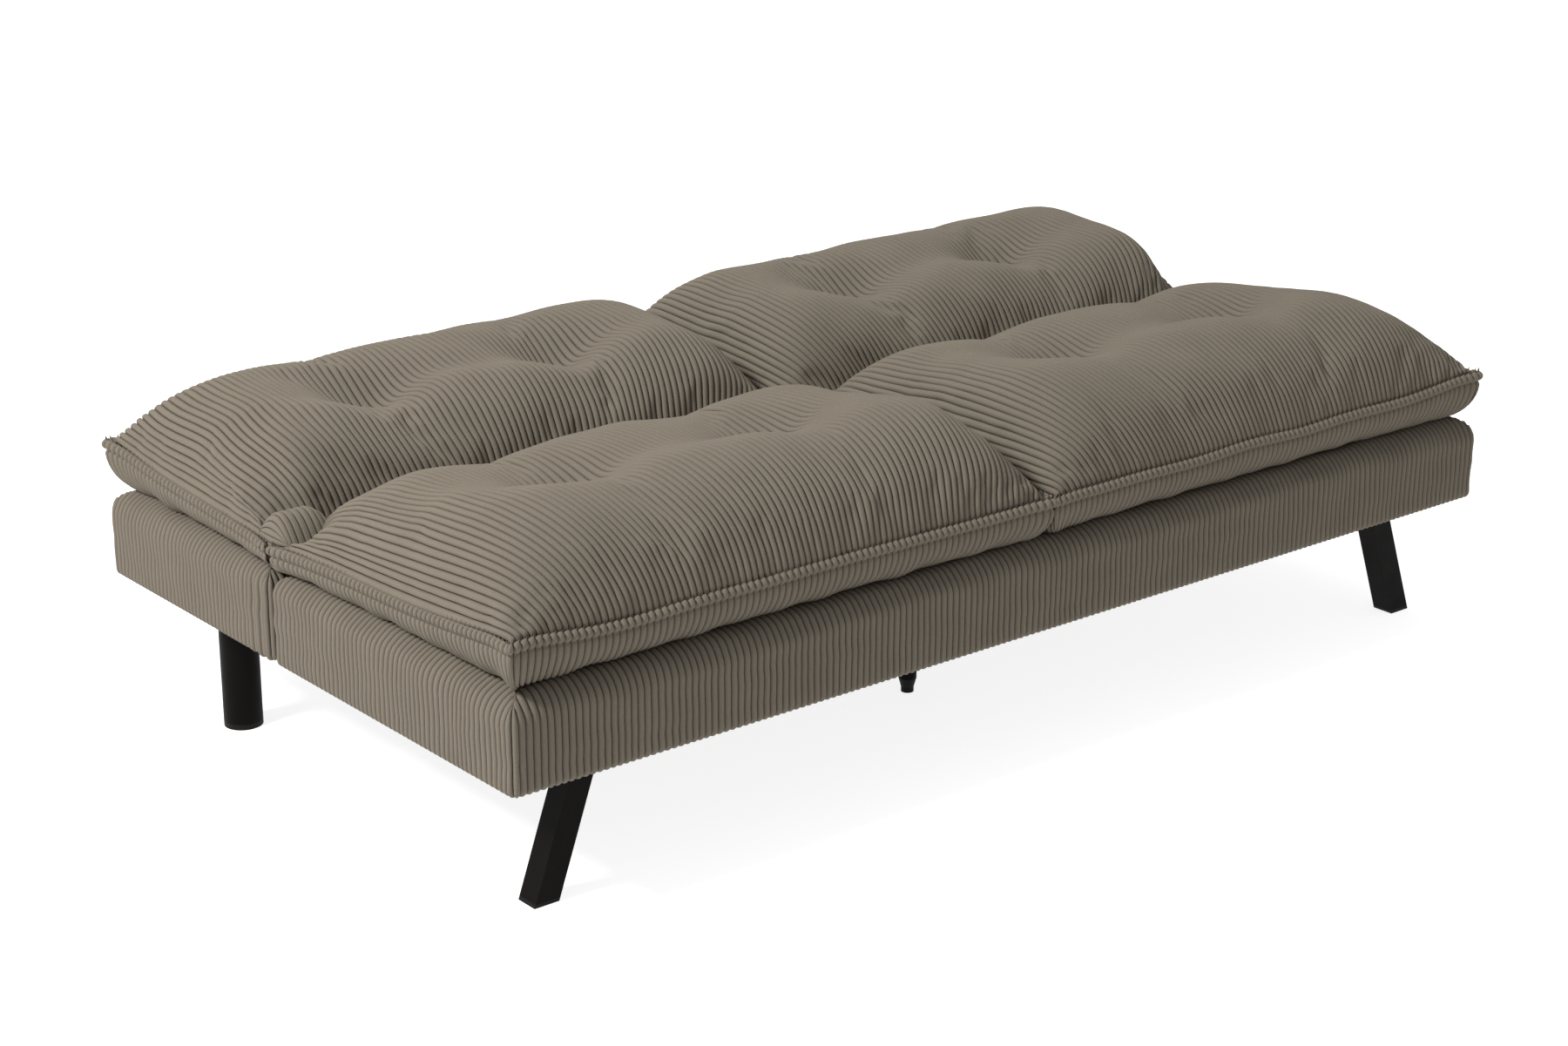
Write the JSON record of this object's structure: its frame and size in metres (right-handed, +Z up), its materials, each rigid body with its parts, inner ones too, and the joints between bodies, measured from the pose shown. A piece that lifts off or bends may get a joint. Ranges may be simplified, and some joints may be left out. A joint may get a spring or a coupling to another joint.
{
  "type": "click-clack futon sofa bed",
  "caption": "Armless fold-flat sofa bed: an upholstered seat and a hinged back, each with tufted corduroy pillows, on splayed steel tube legs.",
  "frame": {"origin": "on the floor, below the middle of the whole sofa's length and depth as it lies flat", "axes": "+Z up, +X along the length to a sitter's left, -Y is the front"},
  "size_m": [1.8, 1.024, 0.4942],
  "materials": {
    "corduroy": "wide-wale corduroy, dusty taupe grey",
    "foam": "polyurethane foam and fibre fill",
    "lining": "black non-woven polypropylene",
    "timber": "planed softwood",
    "plywood": "birch plywood",
    "zinc_fastener": "zinc-plated steel",
    "hinge_steel": "pressed steel, zinc-plated dull",
    "spring_steel": "bright spring wire",
    "foot_plastic": "black moulded plastic",
    "rubber_pad": "black rubber",
    "tie_cord": "waxed tufting cord",
    "black_steel": "dark brown-black satin powder coat"
  },
  "bodies": {
    "seat_section": {"seat_cover": "corduroy", "seat_foam": "foam", "seat_front_rail": "timber", "seat_rear_rail": "timber", "seat_side_rails": "timber", "seat_centre_rail": "timber", "seat_end_boards": "plywood", "seat_slats": "timber", "seat_frame_screws": "zinc_fastener", "seat_dust_cover": "lining", "front_leg_plates": "black_steel", "centre_leg_plate": "black_steel", "leg_bolts": "zinc_fastener", "arm_bolts": "zinc_fastener", "arm_pads": "rubber_pad", "front_leg_right": "black_steel", "front_foot_right": "foot_plastic", "rear_arm_right": "black_steel", "rear_leg_right": "black_steel", "rear_foot_right": "foot_plastic", "front_leg_left": "black_steel", "front_foot_left": "foot_plastic", "rear_arm_left": "black_steel", "rear_leg_left": "black_steel", "rear_foot_left": "foot_plastic", "centre_leg": "black_steel", "centre_foot": "foot_plastic", "hinge_gusset": "corduroy", "hinge_pivots": "zinc_fastener", "pawl_pins": "zinc_fastener", "seat_hinge_bolts": "zinc_fastener", "hinge_seat_plate_right": "hinge_steel", "hinge_seat_plate_left": "hinge_steel", "seat_pillow_right": "corduroy", "seat_pillow_left": "corduroy", "seat_pillow_fill_right": "foam", "seat_pillow_fill_left": "foam", "seat_tuft_ties": "tie_cord"},
    "back_section": {"back_cover": "corduroy", "back_foam": "foam", "back_near_rail": "timber", "back_far_rail": "timber", "back_side_rails": "timber", "back_centre_rail": "timber", "back_end_boards": "plywood", "back_slats": "timber", "back_frame_screws": "zinc_fastener", "back_dust_cover": "lining", "back_hinge_bolts": "zinc_fastener", "hinge_back_arm_right": "hinge_steel", "hinge_back_arm_left": "hinge_steel", "back_pillow_right": "corduroy", "back_pillow_left": "corduroy", "back_pillow_fill_right": "foam", "back_pillow_fill_left": "foam", "back_tuft_ties": "tie_cord"},
    "pawl_lever_left": {"pawl_left": "hinge_steel", "pawl_spring_left": "spring_steel"},
    "pawl_lever_right": {"pawl_right": "hinge_steel", "pawl_spring_right": "spring_steel"}
  },
  "joints": [
    {"name": "back_recline", "type": "hinge", "parent": "seat_section", "child": "back_section", "pos_m": [0, 0.058, 0.38], "axis": [1, 0, 0], "range_deg": [0, 75]},
    {"name": "pawl_release_left", "type": "hinge", "parent": "seat_section", "child": "pawl_lever_left", "pos_m": [-0.8647, 0.032, 0.334], "axis": [1, 0, 0], "range_deg": [0, 12], "stiffness_Nm_per_rad": 0.4, "springref_deg": -11.46},
    {"name": "pawl_release_right", "type": "hinge", "parent": "seat_section", "child": "pawl_lever_right", "pos_m": [0.8647, 0.032, 0.334], "axis": [1, 0, 0], "range_deg": [0, 12], "stiffness_Nm_per_rad": 0.4, "springref_deg": -11.46}
  ],
  "couplings": [
    {"joint": "pawl_release_right", "follows": "pawl_release_left", "ratio": 1}
  ]
}
